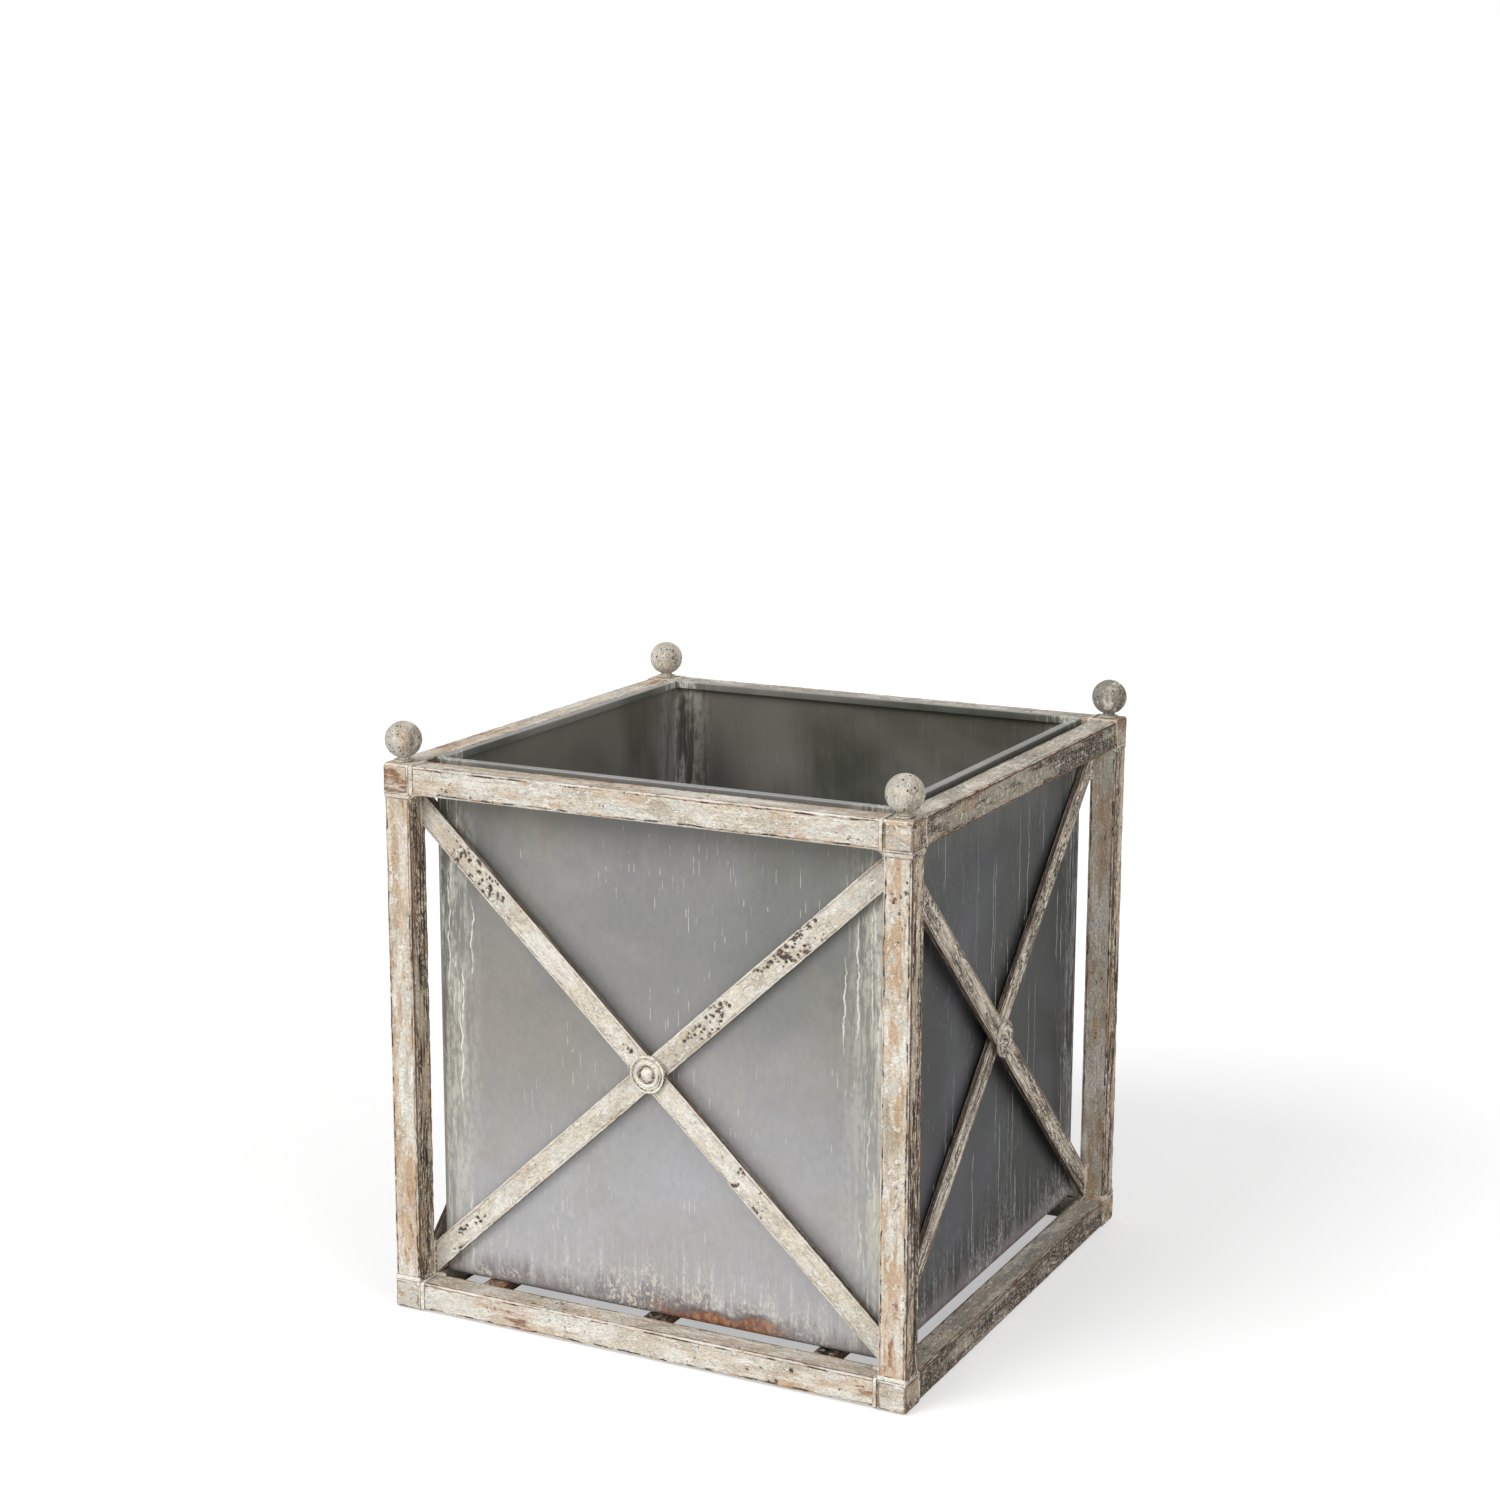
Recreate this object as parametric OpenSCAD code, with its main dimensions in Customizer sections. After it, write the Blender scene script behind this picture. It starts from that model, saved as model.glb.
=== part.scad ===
// Square garden cachepot: a welded frame of square tube with riveted cross braces,
// ball finials on the corners, and a lift-out zinc liner that stands on three slats.
// Millimetres, +Z up, origin on the floor under the centre of the plan.

/* [Frame] */
// Side of the square plan, over the tubes
frame_w = 480; // [320:5:700]
// Height from the floor to the top of the top rails
frame_h = 480; // [320:5:700]
// Side of the square tube
tube_w = 25; // [20:1:32]
// Wall of the square tube
tube_wall = 1.5; // [1:0.1:2.5]
// Outside radius of the tube's long edges
tube_round = 2; // [1.8:0.1:3]

/* [Corner blocks] */
// How far a block stands out past the outer faces of the tubes
block_proud = 1.2; // [0.5:0.1:2.5]
// Rounding of the block's three outer edges
block_round = 2.8; // [1:0.1:5]
// Easing of the block's edges around the tube ends
block_ease = 0.8; // [0.2:0.1:1]
// How far the foot blocks reach below the bottom rails
foot_drop = 1.5; // [0.5:0.1:8]

/* [Cross braces] */
// Width of the flat bar
brace_w = 21.5; // [12:0.5:30]
// Thickness of the flat bar
brace_t = 5; // [3:0.5:8]
// Rounding of the bar's long edges
brace_round = 0.8; // [0.2:0.1:1.4]
// How far the joint between the two bars stands outside the tubes' inner faces
brace_out = 1.5; // [0.5:0.1:2.5]

/* [Rosettes] */
// Diameter of the rosette over the crossing
rosette_d = 32; // [26:0.5:50]
// Thickness of the rosette at its rim
rosette_rim_t = 3; // [2:0.1:5]
// How far the raised ring stands above the rim
ring_rise = 1; // [0.4:0.1:2]
// Outside diameter of the raised ring
ring_d = 25; // [21:0.5:25.5]
// Width of the flat on top of the raised ring
ring_flat = 2.4; // [1:0.1:3]
// Diameter of the seat around the rivet head
seat_d = 14; // [13:0.1:15]
// Depth of the seat below the rosette's rim
seat_depth = 0.8; // [0.3:0.1:1.5]

/* [Rivets] */
// Diameter of the rivet's shank
rivet_d = 6; // [4:0.1:8]
// Diameter of the rivet's head
rivet_head_d = 11.5; // [9:0.1:12.5]
// Height of the rivet's domed head
rivet_head_h = 2.4; // [1:0.1:3]
// How far the closed end of the rivet stands behind the braces
rivet_tail = 0.8; // [0.2:0.1:1.2]
// Diameter of the rivet's closed end
rivet_tail_d = 10; // [9:0.1:14]
// Radial clearance of the rivet in its holes
rivet_fit = 0.1; // [0.05:0.01:0.3]

/* [Finials] */
// Diameter of the ball
ball_d = 31.5; // [28:0.5:48]
// Diameter of the turned neck under the ball
neck_d = 11; // [10.5:0.1:16]
// Height of the neck between the washer and the ball
neck_h = 1.05; // [0.5:0.05:8]
// Diameter of the washer between the block and the neck
washer_d = 17; // [15:0.5:22]
// Thickness of the washer
washer_t = 1.2; // [0.8:0.1:4]
// Diameter of the stud that holds the ball
stud_d = 8; // [6:0.5:10]
// Depth of the stud in the block
stud_in_block = 14; // [8:0.5:18]
// Depth of the stud in the ball, above the washer
stud_in_ball = 16; // [8:0.5:24]
// Radial clearance of the stud in its holes
stud_fit = 0.1; // [0.05:0.01:0.2]
// Bevel on the ends of the stud
stud_bevel = 0.8; // [0.2:0.1:1.5]

/* [Slats] */
// Distance from a side rail's inner face to the middle of the outer slat
slat_in = 58; // [20:1:90]
// Width of a slat
slat_w = 20; // [12:1:30]
// Depth of a slat
slat_h = 10; // [8:0.5:20]
// Wall of the slat's tube
slat_wall = 1.5; // [1:0.1:2]
// Outside radius of the slat's long edges
slat_round = 1.2; // [0.5:0.1:2]

/* [Liner] */
// Gap between the liner and the inner braces all round
liner_clear = 1.5; // [1.5:0.1:12]
// Thickness of the liner's sheet
sheet_t = 1; // [0.6:0.1:1.8]
// Outside radius of the liner's corners and of its bottom edge
liner_round = 7; // [5:0.5:20]
// How far the liner's rim stands above the top rails
liner_rise = 2; // [0:0.5:20]
// Height of the pan's flange inside the wall
pan_lap = 12; // [6:0.5:30]
// Width of the flat top of the rim
rim_w = 7.5; // [5:0.5:20]
// Depth of the rim's turned-down lip
rim_lip = 6; // [3:0.5:20]
// Lift between the slats and the pan, where the liner rests loosely
seat_gap = 0.3; // [0.1:0.1:1]

/* [Hidden] */
CORNERS = ["front_left", "front_right", "back_right", "back_left"];
FACES = ["front", "right", "back", "left"];
SLATS = ["left", "centre", "right"];
CORNER_PARTS = ["post", "top_block", "foot_block", "finial_ball", "finial_washer", "finial_stud"];
FACE_PARTS = ["top_rail", "bottom_rail", "outer_brace", "inner_brace", "rosette", "rivet"];
$fn = 96;
eps = 0.01;

// The frame's inside faces and levels
half_w = frame_w / 2;
half_open = half_w - tube_w;
foot_top = foot_drop + tube_w;
rail_under = frame_h - tube_w;
open_h = rail_under - foot_top;
open_mid = (rail_under + foot_top) / 2;
block_top = frame_h + block_proud;

// The braces run from corner to corner of the opening, edge on corner
open_diag = norm([2 * half_open, open_h]);
brace_angle = atan2(open_h, 2 * half_open) - asin(brace_w / open_diag);
brace_joint = half_open + brace_out;

// The finial stands on the middle of the tube's plan
finial_in = half_w - tube_w / 2;
washer_top = block_top + washer_t;
ball_mid = washer_top + neck_h + ball_d / 2;

// The liner, inside the inner braces
liner_half = brace_joint - brace_t - liner_clear;
liner_core = liner_half - liner_round;
inside_round = 0.5;
liner_floor = foot_top + seat_gap;
wall_foot = liner_floor + liner_round + sheet_t;
rim_top = frame_h + liner_rise;
rim_under = rim_top - sheet_t;

// Colours of the finishes
paint_light = [0.80, 0.77, 0.69];
paint_dark = [0.69, 0.64, 0.55];
paint_worn = [0.62, 0.54, 0.45];
metal_worn = [0.66, 0.64, 0.61];
steel_bare = [0.45, 0.44, 0.43];
zinc_light = [0.60, 0.60, 0.61];
zinc_dark = [0.42, 0.42, 0.43];

// A square ring of parts: turn 0 is the front, or the front left corner
module turned(turn) rotate([0, 0, 90 * turn]) children();

// Stands a shape that is drawn on the floor plan up in the front face
module upright(depth) translate([0, depth, 0]) rotate([90, 0, 0]) children();

module rounded_rect(w, d, r) {
    square([w - 2 * r, d], center = true);
    square([w, d - 2 * r], center = true);
    for (x = [-1, 1], y = [-1, 1])
        translate([x * (w / 2 - r), y * (d / 2 - r)]) circle(r);
}

module tube(length, w, d, wall, round) {
    linear_extrude(length) difference() {
        rounded_rect(w, d, round);
        rounded_rect(w - 2 * wall, d - 2 * wall, max(round - wall, 0.4));
    }
}

module frame_tube(length) tube(length, tube_w, tube_w, tube_wall, tube_round);

// Cuts the corner of a square section back to a radius, at [x, y]
module round_off(x, y, r) {
    translate([x > 0 ? x - r : 0, y > 0 ? y - r : 0]) difference() {
        translate([x > 0 ? 0 : -eps, y > 0 ? 0 : -eps]) square(r + eps);
        translate([x > 0 ? 0 : r, y > 0 ? 0 : r]) circle(r);
    }
}

// A block's section: tight to the tubes on the inside, round on the outside
module block_section(w, h) {
    difference() {
        square([w, h]);
        round_off(w, h, block_round);
        round_off(0, h, block_ease);
        round_off(w, 0, block_ease);
    }
}

// A corner block, from the corner of the tubes' inner faces outwards and up
module corner_block(h) {
    w = tube_w + block_proud;
    intersection() {
        linear_extrude(h) block_section(w, w);
        translate([0, w, 0]) rotate([90, 0, 0]) linear_extrude(w) block_section(w, h);
        rotate([90, 0, 90]) linear_extrude(w) block_section(w, h);
    }
}

// Moves a corner block to the front left corner
module at_corner() {
    translate([-half_open, -half_open, 0]) rotate([0, 0, 180]) children();
}

module post() {
    color(paint_light) translate([-finial_in, -finial_in, foot_top])
        frame_tube(rail_under - foot_top);
}

module top_block() {
    color(paint_light) difference() {
        at_corner() translate([0, 0, rail_under]) corner_block(block_top - rail_under);
        translate([-finial_in, -finial_in, block_top - stud_in_block])
            cylinder(h = stud_in_block + eps, r = stud_d / 2 + stud_fit);
    }
}

module foot_block() {
    color(paint_light) at_corner() translate([0, 0, foot_top]) mirror([0, 0, 1])
        corner_block(foot_top);
}

module finial_ball() {
    color(metal_worn) translate([-finial_in, -finial_in, 0]) difference() {
        union() {
            translate([0, 0, ball_mid]) sphere(d = ball_d);
            translate([0, 0, washer_top]) cylinder(h = neck_h + neck_d / 2, d = neck_d);
        }
        translate([0, 0, washer_top - eps])
            cylinder(h = stud_in_ball + 2 * eps, r = stud_d / 2 + stud_fit);
    }
}

module finial_washer() {
    color(paint_worn) translate([-finial_in, -finial_in, block_top]) difference() {
        cylinder(h = washer_t, d = washer_d);
        translate([0, 0, -eps]) cylinder(h = washer_t + 2 * eps, r = stud_d / 2 + stud_fit);
    }
}

module finial_stud() {
    low = block_top - stud_in_block;
    length = stud_in_block + washer_t + stud_in_ball;
    color(steel_bare) translate([-finial_in, -finial_in, low]) rotate_extrude() polygon([
        [0, 0], [stud_d / 2 - stud_bevel, 0], [stud_d / 2, stud_bevel],
        [stud_d / 2, length - stud_bevel], [stud_d / 2 - stud_bevel, length], [0, length]
    ]);
}

module top_rail() {
    color(paint_light) translate([-half_open, -finial_in, frame_h - tube_w / 2])
        rotate([90, 0, 90]) frame_tube(2 * half_open);
}

module bottom_rail() {
    color(paint_light) translate([-half_open, -finial_in, foot_drop + tube_w / 2])
        rotate([90, 0, 90]) frame_tube(2 * half_open);
}

// A bar across the opening, rising to the right, its outer face on depth 0
module brace(depth) {
    difference() {
        intersection() {
            translate([0, depth + brace_t / 2, open_mid]) rotate([0, -brace_angle, 0])
                translate([-open_diag / 2, 0, 0]) rotate([90, 0, 90])
                    linear_extrude(open_diag) rounded_rect(brace_t, brace_w, brace_round);
            translate([-half_open, depth - eps, foot_top])
                cube([2 * half_open, brace_t + 2 * eps, open_h]);
        }
        translate([0, 0, open_mid]) upright(depth + brace_t + eps)
            cylinder(h = brace_t + 2 * eps, r = rivet_d / 2 + rivet_fit);
    }
}

// The outer brace falls to the right
module outer_brace() {
    color(paint_light) mirror([1, 0, 0]) brace(-brace_joint - brace_t);
}

// The inner brace rises to the right behind it, and laps the tubes by brace_out
module inner_brace() color(paint_dark) brace(-brace_joint);

// The rosette's section from its hole to its rim: a sunk seat, a raised ring, a lip
module rosette_section() {
    ring_top = rosette_rim_t + ring_rise;
    seat = rosette_rim_t - seat_depth;
    lip = ring_rise / 2;
    r = rosette_d / 2;
    ring_out = ring_d / 2;
    ring_in = seat_d / 2;
    flat_mid = (ring_out + ring_in) / 2;
    polygon([
        [rivet_d / 2 + rivet_fit, 0], [r, 0], [r, rosette_rim_t - lip],
        [r - lip, rosette_rim_t], [ring_out + lip, rosette_rim_t],
        [ring_out, rosette_rim_t - lip], [ring_out - lip, rosette_rim_t],
        [flat_mid + ring_flat / 2, ring_top], [flat_mid - ring_flat / 2, ring_top],
        [ring_in, rosette_rim_t], [ring_in, seat], [rivet_d / 2 + rivet_fit, seat]
    ]);
}

module rosette() {
    color(paint_light) translate([0, 0, open_mid]) upright(-brace_joint - brace_t)
        rotate_extrude() rosette_section();
}

// The rivet, along its axis from the seat: a domed head, the shank and the closed end
module rivet_body() {
    seat = rosette_rim_t - seat_depth;
    shank = seat + 2 * brace_t;
    head_r = rivet_head_d / 2;
    dome_r = (head_r * head_r + rivet_head_h * rivet_head_h) / (2 * rivet_head_h);
    intersection() {
        cylinder(h = rivet_head_h + eps, r = head_r);
        translate([0, 0, rivet_head_h - dome_r]) sphere(dome_r);
    }
    translate([0, 0, -shank]) cylinder(h = shank, d = rivet_d);
    translate([0, 0, -shank - rivet_tail]) cylinder(h = rivet_tail, d = rivet_tail_d);
}

module rivet() {
    color(paint_worn) translate([0, 0, open_mid])
        upright(-brace_joint - brace_t - rosette_rim_t + seat_depth) rivet_body();
}

module slat(place) {
    color(paint_dark) translate([place * (half_open - slat_in), half_open, foot_top - slat_h / 2])
        rotate([90, 0, 0]) tube(2 * half_open, slat_w, slat_h, slat_wall, slat_round);
}

// An upright ring that follows the liner's plan, its outside set in from the liner's
module liner_ring(inset, thick, h) {
    outer = liner_half - inset;
    inner = outer - thick;
    linear_extrude(h) difference() {
        rounded_rect(2 * outer, 2 * outer, max(liner_round - inset, inside_round + thick));
        rounded_rect(2 * inner, 2 * inner, max(liner_round - inset - thick, inside_round));
    }
}

module liner_wall() {
    color(zinc_light) translate([0, 0, wall_foot]) liner_ring(0, sheet_t, rim_under - wall_foot);
}

// The pan's bottom edge is a bend, and a flange above it is stepped in behind the wall
module pan_section() {
    r = liner_round;
    difference() {
        translate([0, r]) circle(r);
        translate([0, r]) circle(r - sheet_t);
        translate([-r, -r]) square([r, 3 * r]);
        translate([-r, r]) square([3 * r, r]);
    }
    translate([r - 2 * sheet_t, r]) square([2 * sheet_t, sheet_t]);
    translate([r - 2 * sheet_t, r]) square([sheet_t, sheet_t + pan_lap]);
}

module liner_pan() {
    color(zinc_dark) translate([0, 0, liner_floor]) {
        translate([-liner_core, -liner_core, 0]) cube([2 * liner_core, 2 * liner_core, sheet_t]);
        for (turn = [0:3]) turned(turn) translate([liner_core, liner_core, 0]) {
            rotate_extrude(angle = 90) pan_section();
            rotate([90, 0, 0]) linear_extrude(2 * liner_core) pan_section();
        }
    }
}

// The rim lies inwards on the wall's edge, and its own edge is turned down
module liner_rim() {
    color(zinc_dark) {
        translate([0, 0, rim_under]) liner_ring(0, rim_w, sheet_t);
        translate([0, 0, rim_top - rim_lip]) liner_ring(rim_w - sheet_t, sheet_t, rim_lip);
    }
}

for (turn = [0:3]) {
    turned(turn) post();
    turned(turn) top_block();
    turned(turn) foot_block();
    turned(turn) finial_ball();
    turned(turn) finial_washer();
    turned(turn) finial_stud();
    turned(turn) top_rail();
    turned(turn) bottom_rail();
    turned(turn) outer_brace();
    turned(turn) inner_brace();
    turned(turn) rosette();
    turned(turn) rivet();
}
for (place = [-1:1])
    slat(place);
liner_wall();
liner_pan();
liner_rim();
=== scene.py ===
import random
from math import asin, atan2, cos, hypot, pi, radians, sin, sqrt

import bmesh
import bpy
from mathutils import Matrix, Vector, kdtree, noise


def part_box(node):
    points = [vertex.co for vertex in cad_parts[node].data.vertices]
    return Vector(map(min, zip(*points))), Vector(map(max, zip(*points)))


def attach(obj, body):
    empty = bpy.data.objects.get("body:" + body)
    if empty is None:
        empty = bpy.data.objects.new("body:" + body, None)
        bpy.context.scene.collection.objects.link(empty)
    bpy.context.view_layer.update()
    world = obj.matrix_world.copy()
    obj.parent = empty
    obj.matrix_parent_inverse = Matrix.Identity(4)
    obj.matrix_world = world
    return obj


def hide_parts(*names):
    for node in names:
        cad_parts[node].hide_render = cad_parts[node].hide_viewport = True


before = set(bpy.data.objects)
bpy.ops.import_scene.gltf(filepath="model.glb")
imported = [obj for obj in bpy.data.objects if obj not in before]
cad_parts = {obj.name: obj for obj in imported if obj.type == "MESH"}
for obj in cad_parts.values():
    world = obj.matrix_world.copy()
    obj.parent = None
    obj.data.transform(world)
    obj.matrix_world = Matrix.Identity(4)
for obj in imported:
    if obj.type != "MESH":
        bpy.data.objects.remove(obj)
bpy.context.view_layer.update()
mm = 0.001

corners = ["front_left", "front_right", "back_right", "back_left"]
faces = ["front", "right", "back", "left"]
print("frame loaded:", len(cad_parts), "nodes")


# Node helpers: values take part in sums, and a new node goes into the tree of the values that it is given

class Value:
    def __init__(self, socket):
        self.socket = socket

    def __add__(self, other):
        return calc("ADD", self, other)

    def __sub__(self, other):
        return calc("SUBTRACT", self, other)

    def __rsub__(self, other):
        return calc("SUBTRACT", other, self)

    def __mul__(self, other):
        return calc("MULTIPLY", self, other)

    def __truediv__(self, other):
        return calc("DIVIDE", self, other)

    def __abs__(self):
        return calc("ABSOLUTE", self)


class Outputs:
    def __init__(self, node):
        self.node = node

    def __getitem__(self, key):
        return Value(self.node.outputs[key])


def connect(value, node, key):
    if isinstance(value, Value):
        value.socket.id_data.links.new(value.socket, node.inputs[key])
    else:
        node.inputs[key].default_value = value


def addNode(kind, inputs, tree=None, **settings):
    if tree is None:
        tree = next(v.socket.id_data for v in inputs.values() if isinstance(v, Value))
    node = tree.nodes.new(kind)
    for key, value in settings.items():
        setattr(node, key, value)
    for key, value in inputs.items():
        connect(value, node, key)
    return Outputs(node)


def calc(operation, a, b=0.0, clamp=False):
    return addNode("ShaderNodeMath", {0: a, 1: b}, operation=operation, use_clamp=clamp)[0]


def most(a, b):
    return calc("MAXIMUM", a, b)


def vectorCalc(operation, inputs):
    return addNode("ShaderNodeVectorMath", inputs, operation=operation)[0]


def ramp(value, low, high, bottom=0.0, top=1.0):
    return addNode("ShaderNodeMapRange", {
        "Value": value, "From Min": low, "From Max": high, "To Min": bottom, "To Max": top},
        interpolation_type="SMOOTHSTEP")["Result"]


def blend(factor, under, over, mode="MIX"):
    under, over = (c if isinstance(c, Value) else (*c, 1.0) for c in (under, over))
    return addNode("ShaderNodeMix", {0: factor, 6: under, 7: over}, data_type="RGBA", blend_type=mode)[2]


def grey(value):
    return addNode("ShaderNodeCombineColor", {0: value, 1: value, 2: value})[0]


def cloud(vector, scale, detail=3.0, rough=0.55, twist=0.0):
    return addNode("ShaderNodeTexNoise", {
        "Vector": vector, "Scale": scale, "Detail": detail, "Roughness": rough, "Distortion": twist})["Fac"]


def placed(vector, move=(0, 0, 0), stretch=(1, 1, 1)):
    return addNode("ShaderNodeMapping", {"Vector": vector, "Location": move, "Scale": stretch})["Vector"]


def drawn(vector, move, stretch, detail, rough, twist=0.0):
    return cloud(placed(vector, move, stretch), 1.0, detail, rough, twist)


def startGroup(name, inputs, outputs):
    tree = bpy.data.node_groups.new(name, "ShaderNodeTree")
    kinds = {"Vector": "NodeSocketVector", "Color": "NodeSocketColor"}
    for label in ["Vector", *inputs]:
        socket = tree.interface.new_socket(label, in_out="INPUT", socket_type=kinds.get(label, "NodeSocketFloat"))
        if label in inputs:
            socket.default_value = inputs[label]
    for label in outputs:
        tree.interface.new_socket(label, in_out="OUTPUT", socket_type=kinds.get(label, "NodeSocketFloat"))
    return tree, Outputs(tree.nodes.new("NodeGroupInput")), tree.nodes.new("NodeGroupOutput")


def placeGroup(group, inputs):
    return addNode("ShaderNodeGroup", inputs, node_tree=group)


# Effects that several finishes share

def makePitGroup():
    tree, given, result = startGroup("corrosionPits", {"Scale": 170, "Share": 0.3, "Size": 0.3}, ["Mask"])
    warp = addNode("ShaderNodeTexNoise", {"Vector": given["Vector"], "Scale": 260, "Detail": 2})
    nudge = vectorCalc("SUBTRACT", {0: warp["Color"], 1: (0.5, 0.5, 0.5)})
    small = vectorCalc("SCALE", {0: nudge, "Scale": 0.006})
    moved = vectorCalc("ADD", {0: given["Vector"], 1: small})
    cells = addNode("ShaderNodeTexVoronoi", {"Vector": moved, "Scale": given["Scale"]})
    red = addNode("ShaderNodeSeparateColor", {0: cells["Color"]})[0]
    chosen = calc("LESS_THAN", red, given["Share"])
    radius = given["Size"] * ramp(red, 0, 0.3, 1, 0.5)
    soft = ramp(radius - cells["Distance"], -0.02, 0.06)
    connect(soft * chosen, result, "Mask")
    return tree


def makeDripGroup():
    tree, given, result = startGroup(
        "shortDrips", {"Across": 250, "Along": 60, "Share": 0.2, "Wide": 0.14}, ["Mask"])
    squeeze = addNode("ShaderNodeCombineXYZ", {0: given["Across"], 1: given["Along"]})
    flat = vectorCalc("MULTIPLY", {0: given["Vector"], 1: squeeze[0]})
    cells = addNode("ShaderNodeTexVoronoi", {"Vector": flat, "Scale": 1}, voronoi_dimensions="2D")
    away = vectorCalc("ABSOLUTE", {0: vectorCalc("SUBTRACT", {0: flat, 1: cells["Position"]})})
    away = addNode("ShaderNodeSeparateXYZ", {0: away})
    tone = addNode("ShaderNodeSeparateColor", {0: cells["Color"]})
    chosen = calc("LESS_THAN", tone[0], given["Share"])
    thin = 1 - away["X"] / given["Wide"]
    reach = ramp(tone[1], 0, 1, 0.15, 0.55)
    short = 1 - away["Y"] / reach
    mask = ramp(thin, 0, 0.6) * ramp(short, 0, 0.4) * ramp(tone[2], 0, 1, 0.35, 1)
    connect(mask * chosen, result, "Mask")
    return tree


def makePaintGroup(pits):
    tree, given, result = startGroup(
        "wornPaint",
        {"Edge": 0, "Side": 0, "Pitted": 0, "Rust": 0.5, "Specks": 0.5, "Grey": 0, "Pale": 0, "Tan": 1,
         "Lines": 1},
        ["Color", "Roughness", "Height"])
    at = given["Vector"]  # X runs along the bar
    side, worn, pitted, edge = (given[key] for key in ("Side", "Grey", "Pitted", "Edge"))

    # Cream, with bone white and taupe patches
    wide = drawn(at, (0, 0, 0), (20, 48, 48), 5, 0.62, 0.3)
    colour = blend(ramp(wide, 0.36, 0.46), (0.52, 0.44, 0.33), (0.76, 0.675, 0.535))
    colour = blend(ramp(wide, 0.49, 0.56, 0, 0.9), colour, (0.9, 0.865, 0.78))

    # Tan smears drawn out along the bar
    smear = drawn(at, (3, 1, 7), (11, 70, 70), 5, 0.62)
    smear = ramp(smear, 0.52, 0.61, 0, 0.85) * given["Tan"]
    colour = blend(smear, colour, (0.58, 0.37, 0.2))
    dull = drawn(at, (6, 9, 3), (24, 90, 90), 5, 0.66)
    colour = blend(ramp(dull, 0.55, 0.64, 0, 0.55), colour, (0.43, 0.35, 0.27))
    streak = drawn(at, (8, 3, 1), (9, 430, 430), 3, 0.6)
    colour = blend(1, colour, grey(ramp(streak, 0.36, 0.6, 0.9, 1.04)), "MULTIPLY")

    # A cool grey where the coat is thin
    cool = drawn(at, (9, 4, 2), (30, 60, 60), 4, 0.6) + worn * 0.12
    coolTone = blend(worn, (0.74, 0.71, 0.63), (0.23, 0.226, 0.195))
    colour = blend(ramp(cool, 0.52, 0.62, 0, 0.85), colour, coolTone)
    # On faces turned from the lamps: a warmer tan, darkened further by Grey; painted shade with weathering
    colour = blend(side * 0.65, colour, (0.86, 0.68, 0.47))
    sideShadeDim = calc("SUBTRACT", 1, side * worn * 0.52, True)
    colour = blend(1, colour, grey(sideShadeDim), "MULTIPLY")
    colour = blend(given["Pale"] * 0.8, colour, (0.88, 0.84, 0.75))

    # Mottling, and flakes of an older white coat
    fine = drawn(at, (0, 0, 0), (300, 420, 420), 3, 0.7)
    colour = blend(1, colour, grey(ramp(fine, 0.34, 0.6, 0.84, 1.05)), "MULTIPLY")
    grit = drawn(at, (7, 7, 7), (640, 760, 760), 2, 0.7)
    # Grit darkens the faces turned from the lamps more: painted shade of the relief
    gritty = ramp(side, 0, 1, 0.45, 1)
    colour = blend(gritty, colour, grey(ramp(grit, 0.36, 0.58, 0.74, 1.05)), "MULTIPLY")
    flake = drawn(at, (1, 3, 8), (130, 210, 210), 4, 0.62)
    flakes = ramp(flake, 0.57, 0.6)
    colour = blend(flakes * 0.6, colour, (0.93, 0.9, 0.83))
    rim = ramp(abs(flake - 0.555), 0, 0.018, 1, 0) * ramp(wide, 0.42, 0.56, 0.7, 0.15)
    colour = blend(rim, colour, (0.25, 0.185, 0.13))

    # Bark: long dark cracks between lumps of old paint, only on the faces turned from the lamps: cracked paint
    # with painted shade of the relief
    ridge = drawn(at, (5, 2, 8), (75, 400, 400), 5, 0.7, 0.2)
    deep = ramp(abs(ridge - 0.48), 0.01, 0.05, 0.9, 0)
    split = drawn(at, (1, 1, 1), (7, 200, 200), 3, 0.5)
    split = ramp(abs(split - 0.5), 0.016, 0.045, 1, 0) * ramp(worn, 0.3, 0.9, 1, 0.15)
    deep = most(deep, split * side)
    leather = drawn(at, (5, 2, 8), (330, 560, 560), 2, 0.5)
    deep = most(deep, ramp(leather, 0.34, 0.38, 0.65, 0))
    where = ramp(drawn(at, (2, 9, 4), (11, 70, 70), 3, 0.6), 0.38, 0.56, 0.25, 1)
    wrinkle = drawn(at, (6, 6, 2), (300, 110, 110), 4, 0.66, 0.5)
    wrinkled = ramp(worn, 0.4, 0.8) * ramp(side, 0.3, 0.7)
    # Pale crests and dark cracks of wrinkles on those faces: painted highlight and painted shade of the relief
    colour = blend(ramp(wrinkle, 0.54, 0.62, 0, 0.75) * wrinkled, colour, (0.76, 0.69, 0.56))
    deep = most(deep, ramp(abs(wrinkle - 0.46), 0.01, 0.04, 1, 0) * wrinkled)
    bark = calc("MULTIPLY", deep * where, side * 1.4, True)
    colour = blend(bark, colour, (0.04, 0.029, 0.022))

    # Dark specks in swarms, and the pits that are in the shape
    swarm = ramp(cloud(placed(at, (1, 8, 3)), 24, 4, 0.65), 0.5, 0.62)
    hole = placeGroup(pits, {"Vector": at, "Scale": 260, "Share": 0.3, "Size": 0.36})["Mask"]
    hole = calc("MULTIPLY", hole * swarm, given["Specks"], True)
    frayed = pitted + (fine + grit * 0.6 - 0.8) * 4
    eaten = ramp(frayed, 0.3, 0.5) * ramp(pitted, 0, 0.2)
    colour = blend(ramp(pitted, 0.02, 0.3, 0, 0.55), colour, (0.52, 0.42, 0.32))
    holes = most(hole, eaten)
    holeTone = blend(ramp(flake, 0.44, 0.56), (0.026, 0.021, 0.019), (0.095, 0.058, 0.043))
    colour = blend(holes * 0.92, colour, holeTone)

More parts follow.
